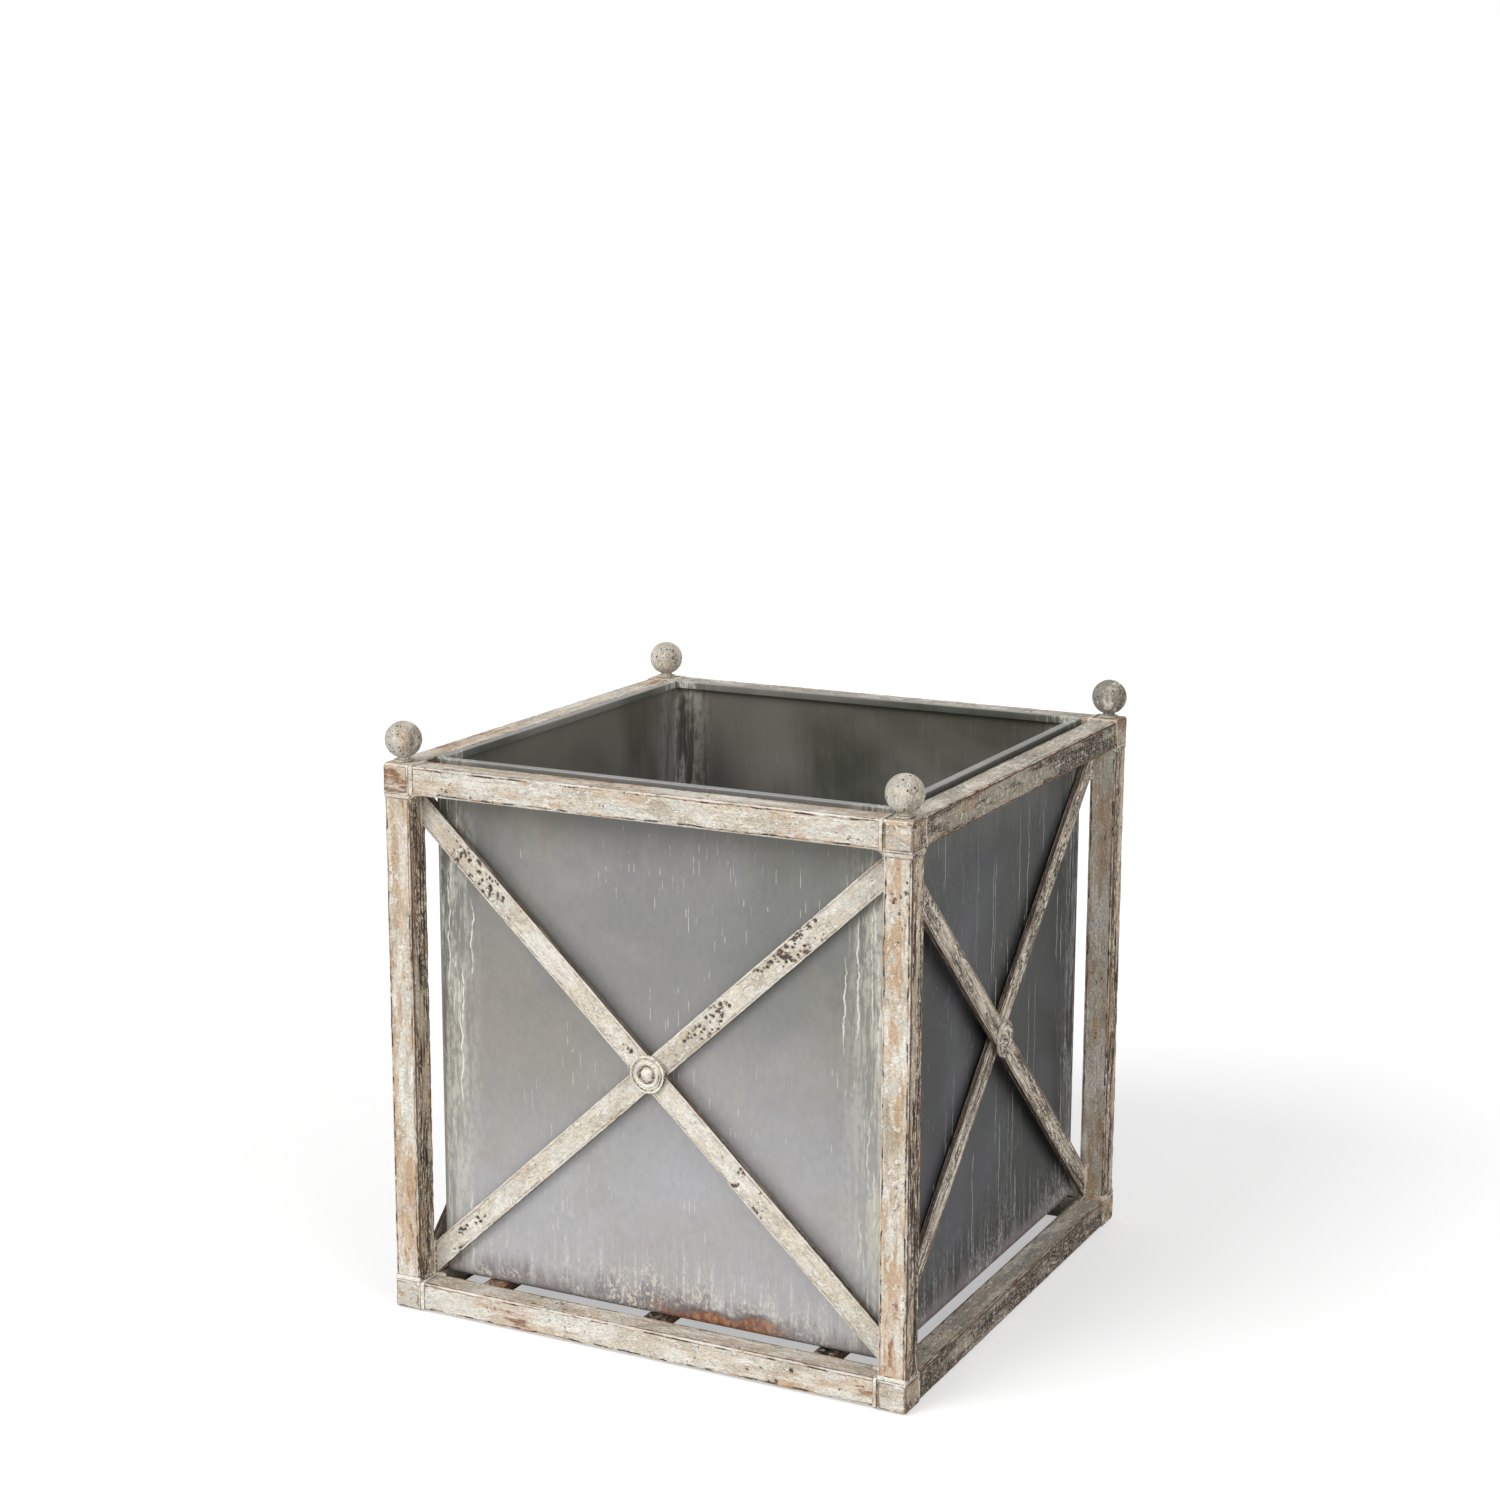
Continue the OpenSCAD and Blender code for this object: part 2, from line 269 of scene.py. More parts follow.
    # Rust that breaks through, with a stain round it
    bloom = drawn(at, (2, 6, 9), (11, 42, 42), 7, 0.7) + given["Rust"] * 0.1
    colour = blend(ramp(bloom, 0.57, 0.7, 0, 0.55), colour, (0.62, 0.38, 0.225))
    rust = ramp(bloom, 0.675, 0.72, 0, 0.85)
    rustTone = blend(ramp(fine, 0.42, 0.58), (0.2, 0.098, 0.056), (0.46, 0.235, 0.115))
    colour = blend(rust, colour, rustTone)

    # Along the bends: a pale strip on the front faces, rubbed paint with a painted highlight, then a broken dark
    # line and a tan one
    wander = drawn(at, (4, 4, 4), (35, 60, 60), 4, 0.62)
    near = (1 - edge) * 10 + (wander - 0.5) * 3.4
    there = ramp(drawn(at, (6, 5, 2), (22, 70, 70), 4, 0.65), 0.42, 0.52, 0.12, 1) * given["Lines"]
    front = calc("SUBTRACT", 1, side, True)
    strip = ramp(near, 0.9, 1.8, 0.85, 0) * ramp(edge, 0, 0.5)
    colour = blend(strip * front, colour, (0.93, 0.9, 0.83))
    tan = ramp(abs(near - 2.2), 0.3, 0.9, 0.8, 0)
    # On the faces turned from the lamps the tan and dark lines run unbroken: painted shade
    there = most(there, side * 0.8)
    colour = blend(tan * there, colour, (0.38, 0.19, 0.09))
    dashes = ramp(drawn(at, (2, 2, 6), (75, 160, 160), 4, 0.65), 0.52, 0.57)
    dashes = most(dashes * given["Lines"], side * 0.85)
    lineAt = ramp(side, 0, 1, 2.3, 1.3)
    line = ramp(abs(near - lineAt), 0.35, 0.95, 0.95, 0) * dashes
    colour = blend(line, colour, (0.07, 0.046, 0.034))
    connect(colour, result, "Color")

    bare = most(most(rust, holes), most(bark, line))
    connect(ramp(bare + fine * 0.3, 0, 1.2, 0.58, 0.95), result, "Roughness")
    depth = fine * 1.1 + flakes * 0.3 + grit * 0.8 + streak * 0.5 + wrinkle * wrinkled * 2 - bare * 0.8
    connect(depth, result, "Height")
    return tree


def makeZincGroup(drips, pits):
    tree, given, result = startGroup(
        "weatheredZinc",
        {"Inside": 0, "Side": 0, "Bend": 0, "Runs": 0.5, "Under Rim": 1, "Top": 0.482, "Foot": 0.027},
        ["Color", "Roughness", "Metallic", "Height"])
    at, inside, side = (given[key] for key in ("Vector", "Inside", "Side"))
    xyz = addNode("ShaderNodeSeparateXYZ", {0: at})
    height = xyz["Z"]
    across = xyz["X"] + xyz["Y"]  # runs round the walls
    fromTop = given["Top"] - height
    fromFoot = height - given["Foot"]
    flat = addNode("ShaderNodeCombineXYZ", {0: across, 1: height})[0]

    # Soft cloudy grey with a faint spangle, paler towards the foot: a painted reflection of the floor, darker
    # under the rail as painted shade
    wide = cloud(at, 4.5, 4, 0.5, 0.8)
    pale = ramp(fromTop, 0.1, 0.44, 0, 0.9) + wide * 0.7
    colour = blend(ramp(pale, 0.3, 1.25), (0.205, 0.207, 0.192), (0.422, 0.417, 0.424))
    warm = ramp(cloud(placed(at, (4, 2, 6)), 6, 4, 0.6), 0.44, 0.64, 0, 0.5)
    colour = blend(warm, colour, (0.365, 0.335, 0.29))
    lilac = ramp(cloud(placed(at, (1, 9, 3)), 3.5, 3, 0.5), 0.45, 0.62, 0, 0.25)
    colour = blend(lilac, colour, (0.39, 0.38, 0.405))
    spangle = addNode("ShaderNodeTexVoronoi", {"Vector": at, "Scale": 85})
    tone = addNode("ShaderNodeSeparateColor", {0: spangle["Color"]})[1]
    grain = drawn(at, (0, 0, 0), (230, 230, 120), 4, 0.65)
    mixed = tone * 0.1 + grain * 0.9
    colour = blend(1, colour, grey(ramp(mixed, 0.3, 0.72, 0.95, 1.05)), "MULTIPLY")
    # Walls turned right and back are painted near black: painted shade
    sideShadeTone = blend(ramp(wide, 0.42, 0.68), (0.024, 0.026, 0.024), (0.06, 0.06, 0.068))
    colour = blend(side, colour, sideShadeTone)
    # Inner faces are painted darker, with scratches: painted shade inside the liner
    scratch = drawn(at, (8, 2, 2), (190, 190, 16), 5, 0.7)
    innerTone = wide + (scratch - 0.5) * 0.12
    innerTone = blend(ramp(innerTone, 0.34, 0.66), (0.06, 0.067, 0.05), (0.215, 0.2, 0.18))
    colour = blend(inside, colour, innerTone)

    # Chalky bloom beside the bends
    beside = ramp(abs(xyz["X"]), 0.16, 0.2) * ramp(abs(xyz["Y"]), 0.16, 0.2)
    wash = drawn(at, (3, 3, 3), (150, 150, 14), 6, 0.72)
    chalk = ramp(wash, 0.42, 0.54, 0, 0.9) * beside * ramp(grain, 0.38, 0.54, 0.35, 1)
    # On faces turned from the lamps the chalk is darker: painted shade
    colour = blend(chalk, colour, blend(side, (0.57, 0.56, 0.49), (0.19, 0.19, 0.18)))

    # Short white lime drips in loose rows, and long wandering ones beside the bends
    rows = ramp(drawn(at, (2, 7, 5), (13, 13, 9), 3, 0.6), 0.47, 0.64)
    share = rows * (given["Runs"] + side * 0.35)
    small = placeGroup(drips, {"Vector": flat, "Across": 420, "Along": 62, "Share": share, "Wide": 0.16})
    bentU = across + (drawn(at, (0, 0, 0), (22, 22, 46), 3, 0.6) - 0.5) * 0.01
    bent = addNode("ShaderNodeCombineXYZ", {0: bentU, 1: height})[0]
    longShare = beside * 0.85 + side * 0.12
    long = placeGroup(drips, {"Vector": bent, "Across": 200, "Along": 8, "Share": longShare, "Wide": 0.17})
    broken = ramp(grain, 0.38, 0.56, 0.3, 1)
    lime = calc("MULTIPLY", most(small["Mask"] * 0.75, long["Mask"] * 1.6), broken, True) * (1 - inside * 0.8)
    # On faces turned from the lamps the lime is darker: painted shade
    colour = blend(lime, colour, blend(side, (0.76, 0.745, 0.66), (0.32, 0.32, 0.295)))
    # A paler tone on the rounded corners: painted highlight
    bend = given["Bend"] * ramp(wash, 0.38, 0.6, 0.3, 0.8) * (1 - inside)
    colour = blend(bend, colour, (0.48, 0.465, 0.425))

    # Darker just under the rim
    ragged = drawn(at, (0, 0, 0), (60, 60, 12), 4, 0.65)
    underRim = ramp(fromTop + (ragged - 0.5) * 0.09, 0.03, 0.085, 0.3, 0) * given["Under Rim"]
    colour = blend(underRim, colour, (0.13, 0.125, 0.09))

    # Along the foot: climbing tide streaks, a band that darkens towards the foot, pale salts, and rust on part of
    # the front
    tide = fromFoot + (ragged - 0.5) * 0.07
    climb = drawn(at, (5, 5, 5), (210, 210, 11), 5, 0.68)
    lift = tide - climb * 0.055
    climb = ramp(climb, 0.5, 0.62) * ramp(lift, -0.01, 0.05, 0.75, 0)
    crumb = drawn(at, (4, 1, 1), (420, 420, 260), 4, 0.7)
    climb = climb * ramp(crumb, 0.44, 0.56, 0.15, 1)
    # On faces turned from the lamps the streaks are darker: painted shade
    colour = blend(climb, colour, blend(side, (0.64, 0.625, 0.6), (0.33, 0.325, 0.3)))
    footDarkening = ramp(tide, 0.004, 0.03, 0.75, 0)
    colour = blend(footDarkening, colour, (0.165, 0.14, 0.145))
    salts = drawn(at, (6, 1, 1), (330, 330, 230), 5, 0.72)
    reach = ramp(tide, 0.006, 0.065, 1, 0)
    crust = ramp(cloud(placed(at, (7, 3, 1)), 14, 3, 0.6), 0.46, 0.6, 0.15, 1)
    salts = ramp(salts, 0.5, 0.57) * reach * crust
    # On faces turned from the lamps the salts are darker: painted shade
    colour = blend(salts * 0.75, colour, blend(side, (0.7, 0.665, 0.55), (0.33, 0.325, 0.3)))
    along = abs(xyz["X"] - 0.06)
    wavy = drawn(at, (3, 8, 1), (17, 17, 40), 4, 0.62)
    level = fromFoot + (wavy - 0.5) * 0.045
    onFront = calc("LESS_THAN", xyz["Y"], -0.19)
    stretch = ramp(along, 0.03, 0.075, 1, 0) * onFront
    rim = ramp(level, 0.013, 0.022, 0.8, 0) * stretch
    colour = blend(rim, colour, (0.105, 0.072, 0.066))
    patch = ramp(level, 0.009, 0.014, 1, 0) * stretch
    rustTone = blend(ramp(grain, 0.4, 0.6), (0.22, 0.085, 0.045), (0.43, 0.22, 0.11))
    colour = blend(patch * 0.85, colour, rustTone)
    connect(colour, result, "Color")

    dirt = most(most(most(footDarkening, rim), most(salts, lime)), most(chalk, climb))
    connect(ramp(dirt + grain * 0.3, 0, 1.2, 0.44, 0.85), result, "Roughness")
    connect(ramp(dirt, 0, 0.8, 0.45, 0.05), result, "Metallic")
    spots = placeGroup(pits, {"Vector": at, "Scale": 120, "Share": 0.12, "Size": 0.22})["Mask"]
    connect(grain * 0.4 + dirt * 0.6 - spots * 0.3, result, "Height")
    return tree


pitGroup = makePitGroup()
dripGroup = makeDripGroup()
paintGroup = makePaintGroup(pitGroup)
zincGroup = makeZincGroup(dripGroup, pitGroup)


def startTree(owner):
    owner.use_nodes = True
    owner.node_tree.nodes.clear()
    return owner.node_tree


def startMaterial(name):
    material = bpy.data.materials.new(name)
    tree = startTree(material)
    surface = tree.nodes.new("ShaderNodeBsdfPrincipled")
    connect(Value(surface.outputs[0]), tree.nodes.new("ShaderNodeOutputMaterial"), "Surface")
    return material, tree, surface


def coverSurface(surface, inputs, height, strength, distance):
    bump = addNode("ShaderNodeBump", {"Height": height, "Strength": strength, "Distance": distance})
    for key, value in {**inputs, "Normal": bump["Normal"]}.items():
        connect(value, surface, key)


def readAttribute(tree, name):
    return addNode("ShaderNodeAttribute", {}, tree, attribute_name=name)


def makePaint(name, grit, rust=0.0, specks=1.0, worn=0.0, pale=0.0, tan=0.8, lines=1.0):
    material, tree, surface = startMaterial(name)
    lay, edge, side, pitted = (readAttribute(tree, key) for key in ("lay", "edge", "side", "pitted"))
    paint = placeGroup(paintGroup, {
        "Vector": lay["Vector"], "Edge": edge["Fac"], "Side": side["Fac"], "Pitted": pitted["Fac"], "Rust": rust,
        "Specks": specks, "Grey": worn, "Pale": pale, "Tan": tan, "Lines": lines})
    coverSurface(surface, {"Base Color": paint["Color"], "Roughness": paint["Roughness"],
                           "Specular IOR Level": 0.35}, paint["Height"], 0.9, grit)
    return material


def makeZinc(name, runs, shade=1.0, underRim=1.0):
    material, tree, surface = startMaterial(name)
    where = addNode("ShaderNodeTexCoord", {}, tree)
    turned = addNode("ShaderNodeSeparateXYZ", {0: where["Normal"]})
    xyz = addNode("ShaderNodeSeparateXYZ", {0: where["Object"]})
    facing = turned["X"] * xyz["X"] + turned["Y"] * xyz["Y"]  # below 0 on the liner's inner faces
    inside = ramp(facing, -0.04, -0.01, 1.0, 0.0)
    both = abs(turned["X"]) * abs(turned["Y"])
    away = ramp(turned["X"], -0.5, -0.2) * shade
    zinc = placeGroup(zincGroup, {
        "Vector": where["Object"], "Runs": runs, "Inside": inside, "Bend": ramp(both, 0.1, 0.4), "Under Rim": underRim,
        "Side": readAttribute(tree, "side")["Fac"] * away})
    coverSurface(surface, {"Base Color": zinc["Color"], "Roughness": zinc["Roughness"],
                           "Metallic": zinc["Metallic"], "Specular IOR Level": 0.3}, zinc["Height"], 0.5, 0.3 * mm)
    return material


def makeSteel(name):
    material, tree, surface = startMaterial(name)
    turning = drawn(addNode("ShaderNodeTexCoord", {}, tree)["Object"], (0, 0, 0), (60, 60, 1600), 3.0, 0.6)
    coverSurface(surface, {"Base Color": blend(turning, (0.33, 0.32, 0.31), (0.50, 0.49, 0.48)),
                           "Roughness": ramp(turning, 0.3, 0.7, 0.32, 0.5), "Metallic": 1.0},
                 turning, 0.5, 0.2 * mm)
    return material


tubePaint = makePaint("tube_paint", grit=1.7 * mm, rust=0.40, specks=0.8, tan=0.9)
greyShadePaint = makePaint("tube_paint_grey_shade", grit=1.8 * mm, rust=0.05, specks=0.8, worn=0.75, pale=0.15, tan=0.25)
palePaint = makePaint("tube_paint_pale", grit=2.0 * mm, rust=0.50, specks=0.9, pale=0.30, tan=1.0)
blockPaint = makePaint("block_paint", grit=1.8 * mm, rust=0.68, specks=0.6, worn=0.2, tan=0.6, lines=0.6)
barPaint = makePaint("bar_paint", grit=1.6 * mm, specks=0.9, worn=0.05, pale=0.38, tan=0.40, lines=0.35)
rosettePaint = makePaint("rosette_paint", grit=0.6 * mm, specks=0.4, pale=0.6, tan=0.1)
weldPaint = makePaint("weld_paint", grit=1.0 * mm, rust=0.2, specks=0.5, pale=0.20, tan=0.3)
slatShadePaint = makePaint("slat_paint_shaded", grit=0.8 * mm, rust=0.9, worn=2.2, tan=0.3)
finialPaint = makePaint("finial_paint", grit=1.8 * mm, worn=0.38, pale=0.22, tan=0.25)
rubbedPaint = makePaint("finial_paint_rubbed", grit=1.6 * mm, worn=1.5, tan=0.4)
zincSheet = makeZinc("zinc_sheet", runs=0.15)
zincPanSheet = makeZinc("zinc_pan_sheet", runs=0.2)
zincEdge = makeZinc("zinc_edge", runs=0.1, shade=0.3, underRim=0.0)
bareSteel = makeSteel("bare_steel_turned")
print("finishes made:", len(bpy.data.materials))


# Shape helpers

def layAlong(bm, axis, seed, scale=1.0):
    lay = bm.verts.layers.float_vector.new("lay")
    order = [axis] + [a for a in range(3) if a != axis]
    shift = Vector((seed * 0.61, seed * 0.37, seed * 0.23))
    for v in bm.verts:
        v[lay] = Vector([v.co[a] for a in order]) * scale + shift


# Faces turned right, back, left and up get the side attribute, which the finishes use to paint shade on them, with
# weathering
shadeLook = {"right": 1.0, "back": 0.55, "left": 0.35, "up": 0.26, "from": 0.35, "over": 0.5}


def shaded(normal):  # how far a place is turned from the lamps and the weather: painted shade with weathering
    ways = {"right": normal.x, "back": normal.y, "left": -normal.x, "up": normal.z}
    return max(shadeLook[key] * max(0.0, min(1.0, (n - shadeLook["from"]) / shadeLook["over"]))
               for key, n in ways.items())


def fillLayer(bm, name, rule):
    layer = bm.verts.layers.float.new(name)
    for v in bm.verts:
        v[layer] = rule(v)
    return layer


def only(parts, kind):
    return [g for g in parts if isinstance(g, kind)]


def showObject(name, data):
    thing = bpy.data.objects.new(name, data)
    bpy.context.scene.collection.objects.link(thing)
    return thing


def newPiece(name, bm, material, body, nodes=(), sharpAngle=38):
    if "lay" not in bm.verts.layers.float_vector:
        layAlong(bm, 0, len(bpy.data.meshes))
    bmesh.ops.recalc_face_normals(bm, faces=bm.faces)
    bm.normal_update()
    if "side" not in bm.verts.layers.float:
        fillLayer(bm, "side", lambda v: shaded(v.normal))
    mesh = bpy.data.meshes.new(name)
    bm.to_mesh(mesh)
    bm.free()
    mesh.shade_smooth()
    mesh.set_sharp_from_angle(angle=radians(sharpAngle))
    mesh.materials.append(material)
    piece = showObject(name, mesh)
    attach(piece, body)
    if nodes:
        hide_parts(*nodes)


def dress(node, bm, material, sharpAngle=38):
    newPiece(node + "_worn", bm, material, "frame", [node], sharpAngle)


def standOn(bm, place, axis):
    turn = Vector((0, 0, 1)).rotation_difference(Vector(axis)).to_matrix().to_4x4()
    bmesh.ops.transform(bm, matrix=Matrix.Translation(place) @ turn, verts=bm.verts)


def turnMesh(bm, turn):
    bmesh.ops.rotate(bm, verts=bm.verts, cent=(0, 0, 0), matrix=Matrix.Rotation(radians(90 * turn), 3, "Z"))


def cutPlane(bm, point, normal, dist, clear=False):
    return bmesh.ops.bisect_plane(bm, geom=bm.verts[:] + bm.edges[:] + bm.faces[:], dist=dist,
                                  plane_co=point, plane_no=normal, clear_outer=clear)


def cutEvenly(bm, axis, start, span, count):
    point, normal = [0, 0, 0], [0, 0, 0]
    normal[axis] = 1
    for i in range(count + 1):
        point[axis] = start + span * i / count
        cutPlane(bm, point, normal, 1e-7)


def solidBox(low, high):
    bm = bmesh.new()
    place = Matrix.Translation((low + high) / 2) @ Matrix.Diagonal((*(high - low), 1))
    bmesh.ops.create_cube(bm, size=1, matrix=place)
    return bm


def bevel(bm, parts, width, steps, affect="EDGES"):
    bmesh.ops.bevel(bm, geom=parts, offset=width, offset_type="OFFSET", segments=steps, profile=0.5,
                    affect=affect, clamp_overlap=True, material=-1)


def runsAlong(edge, axis):
    way = edge.verts[1].co - edge.verts[0].co
    return abs(way[axis]) > 0.999 * way.length


def divide(bm, axis, cuts):
    lengthways = [e for e in bm.edges if runsAlong(e, axis)]
    bmesh.ops.subdivide_edges(bm, edges=lengthways, cuts=cuts, use_grid_fill=True)


edgeReach = 10 * mm


def nearEdge(distance):  # 1 on a bend, 0 from edgeReach away
    return max(0.0, 1.0 - distance / edgeReach)


def roundBar(low, high, axis, look, seed):
    bm = solidBox(low, high)
    bevel(bm, [e for e in bm.edges if runsAlong(e, axis)], look["round"], look["bendSteps"])
    across = [a for a in range(3) if a != axis]
    for a in across:
        middle, half = (low[a] + high[a]) / 2, (high[a] - low[a]) / 2
        inner = half - look["round"] - look["strip"]
        cutEvenly(bm, a, middle - inner, 2 * inner, max(1, round(2 * inner / look["across"])))
    fillLayer(bm, "edge", lambda v: nearEdge(
        max((high[a] - low[a]) / 2 - abs(v.co[a] - (low[a] + high[a]) / 2) for a in across)))
    divide(bm, axis, round((high[axis] - low[axis]) / look["along"]))
    layAlong(bm, axis, seed)
    return bm


def weather(bm, look, seed):
    bmesh.ops.recalc_face_normals(bm, faces=bm.faces)
    bm.normal_update()
    shift = Vector((seed * 1.7, seed * 2.3, seed * 3.1))
    lay = bm.verts.layers.float_vector.get("lay")
    steps = []
    for v in bm.verts:
        broad = noise.noise(v.co * look["broadScale"] + shift)
        fine = noise.noise(v.co * look["fineScale"] + shift)
        dent = look["broad"] * (0.5 + 0.5 * broad) + look["fine"] * (0.5 + 0.5 * fine)
        if look.get("bark"):
            along, over, through = v[lay]
            ridgeAt = (along * look["ridgeAlong"], over * look["ridgeOver"], through * look["ridgeOver"])
            ridge = noise.noise(Vector(ridgeAt))
            dent += look["bark"] * shaded(v.normal) * max(0.0, 1 - 4 * abs(ridge))
        steps.append(v.normal * -max(0.0, dent))
    for v, step in zip(bm.verts, steps):
        v.co += step


def eatPits(bm, centres):  # centres: (place, radius)
    bm.normal_update()
    pitted = bm.verts.layers.float.new("pitted")
    tree = kdtree.KDTree(len(bm.verts))
    bm.verts.ensure_lookup_table()
    for i, v in enumerate(bm.verts):
        tree.insert(v.co, i)
    tree.balance()
    found = {}
    for place, radius in centres:
        depth = radius * pitLook["steep"]
        for _, i, far in tree.find_range(place, radius):
            bowl = 1 - (far / radius) ** 2
            if bowl * depth > found.get(i, (0, 0))[1]:
                found[i] = (bowl, bowl * depth)
    for i, (bowl, sink) in found.items():
        v = bm.verts[i]
        v[pitted] = bowl
        v.co -= v.normal * sink


def scatterPits(swarms, half, front, rng):  # swarms: (start, end, count) along the bar
    centres = []
    for start, end, count in swarms:
        for i in range(count):
            if i % pitLook["perCluster"] == 0:
                wide = pitLook["wide"] * half
                along, over = rng.uniform(start, end), rng.uniform(-wide, wide)
            radius, spread = rng.uniform(*pitLook["radius"]), pitLook["spread"]
            centres.append((Vector((rng.gauss(along, spread), front, rng.gauss(over, 0.5 * spread))), radius))
    return centres


pitLook = {"radius": (0.8 * mm, 2.0 * mm), "steep": 0.42, "perCluster": 5, "spread": 3.6 * mm, "wide": 0.8}


def spun(points, steps, place, axis):
    bm = bmesh.new()
    verts = [bm.verts.new((r, 0, z)) for r, z in points]
    edges = [bm.edges.new(pair) for pair in zip(verts, verts[1:])]
    bmesh.ops.spin(bm, geom=verts + edges, cent=(0, 0, 0), axis=(0, 0, 1), angle=2 * pi, steps=steps,
                   use_merge=True)
    bmesh.ops.remove_doubles(bm, verts=bm.verts, dist=1e-6)
    standOn(bm, place, axis)
    return bm


def arc(centre, radius, start, end, count):
    return [(centre[0] + radius * cos(radians(start + (end - start) * i / count)),
             centre[1] + radius * sin(radians(start + (end - start) * i / count))) for i in range(count + 1)]


def roundRing(bm, half, radius, perSide, bendSteps):  # its vertices, each with its ways outwards
    bmesh.ops.create_grid(bm, x_segments=1, y_segments=1, size=half)
    bevel(bm, bm.verts[:], radius, bendSteps, "VERTICES")
    bmesh.ops.delete(bm, geom=bm.faces[:], context="FACES_ONLY")
    straight = [e for e in bm.edges if e.calc_length() > half]
    bmesh.ops.subdivide_edges(bm, edges=straight, cuts=perSide)
    core = half - radius
    outward = {}
    for v in bm.verts:
        x, y, _ = v.co
        way = Vector((x - max(-core, min(core, x)), y - max(-core, min(core, y)), 0)).normalized()
        diagonal = Vector((1 if x > 0 else -1, 1 if y > 0 else -1, 0))
        outward[v] = (way, diagonal if min(abs(x), abs(y)) > core - 0.001 * mm else way)
    return outward


tightBend = 0.3 * mm


def stepOut(ways, start, end, limit):  # past the limit a bend moves on along its diagonal
    shallow = max(end, limit) - max(start, limit)
    return ways[0] * shallow + ways[1] * (end - start - shallow)


def sweepRing(half, radius, profile, perSide, bendSteps, closed=True):
    bm = bmesh.new()
    outward = roundRing(bm, half, radius, perSide, bendSteps)
    first, edges, limit = bm.edges[:], bm.edges[:], tightBend - radius
    for v, ways in outward.items():
        v.co += stepOut(ways, 0, profile[0][0], limit) + Vector((0, 0, profile[0][1]))
    for (out0, z0), (out1, z1) in zip(profile, profile[1:]):
        grown = bmesh.ops.extrude_edge_only(bm, edges=edges)["geom"]
        old = {v.co.to_tuple(7): ways for v, ways in outward.items()}
        outward = {v: old[v.co.to_tuple(7)] for v in only(grown, bmesh.types.BMVert)}
        for v, ways in outward.items():
            v.co += stepOut(ways, out0, out1, limit) + Vector((0, 0, z1 - z0))
        edges = [e for e in only(grown, bmesh.types.BMEdge) if all(v in outward for v in e.verts)]
    if closed:
        bmesh.ops.bridge_loops(bm, edges=first + edges)
    return bm


# Tubes: posts, rails and slats

tubeLook = {
    "round": 2.0 * mm, "bendSteps": 3, "strip": 1.0 * mm, "across": 1.4 * mm, "along": 1.5 * mm,
    "broad": 0.24 * mm, "broadScale": 45, "fine": 0.28 * mm, "fineScale": 300,
    "bark": 0.45 * mm, "ridgeAlong": 60, "ridgeOver": 260,
    "swarms": 3, "swarmLength": 0.05, "perSwarm": 9, "shade": 0.0, "backPosts": 0.15,
}
# Slats lie under the liner: dark all over as painted shade, with rust and flakes
slatLook = {**tubeLook, "shade": 1.0, "round": 1.2 * mm, "across": 4.0 * mm, "along": 5.0 * mm, "bark": 0.0,
            "swarms": 0}


def makeTube(node, axis, material, look, seed):
    low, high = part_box(node)
    bm = roundBar(low, high, axis, look, seed)
    weather(bm, look, seed)
    bm.normal_update()
    fillLayer(bm, "side", lambda v: max(look["shade"], shaded(v.normal)))
    rng = random.Random(seed)
    middle, centres = (low + high) / 2, []
    across = [a for a in range(3) if a != axis]
    for _ in range(look["swarms"]):
        face, sign = rng.choice(across), rng.choice((-1, 1))
        over = across[1] if face == across[0] else across[0]
        start = rng.uniform(low[axis], high[axis] - look["swarmLength"])
        half = (high[over] - low[over]) / 2
        for _ in range(look["perSwarm"]):
            place = middle.copy()
            place[face] += sign * (high[face] - low[face]) / 2
            place[over] += rng.uniform(-half, half)
            place[axis] = start + rng.uniform(0, look["swarmLength"])
            centres.append((place, rng.uniform(*pitLook["radius"])))
    eatPits(bm, centres)
    dress(node, bm, material)


for turn in range(4):
    # Back posts take a little painted shade over all their faces
    postLook = {**tubeLook, "shade": tubeLook["backPosts"] if "back" in corners[turn] else 0.0}
    makeTube("post_" + corners[turn], 2, tubePaint, postLook, 1 + turn)
    # Right and back rails take the greyer paint, darker on faces turned from the lamps: thinner coat and painted
    # shade
    railPaint = greyShadePaint if faces[turn] in ("right", "back") else palePaint
    makeTube("top_rail_" + faces[turn], turn % 2, railPaint, tubeLook, 11 + turn)
    makeTube("bottom_rail_" + faces[turn], turn % 2, railPaint, tubeLook, 21 + turn)
for turn, name in enumerate(("slat_left", "slat_centre", "slat_right")):
    makeTube(name, 1, slatShadePaint, slatLook, 31 + turn)
print("tubes made")


# Corner blocks: cast lumps, rounder on their outer edges

blockLook = {
    "round": 3.6 * mm, "ease": 0.8 * mm, "grid": 1.1 * mm,
    "broad": 0.70 * mm, "broadScale": 85, "fine": 0.28 * mm, "fineScale": 330,
}


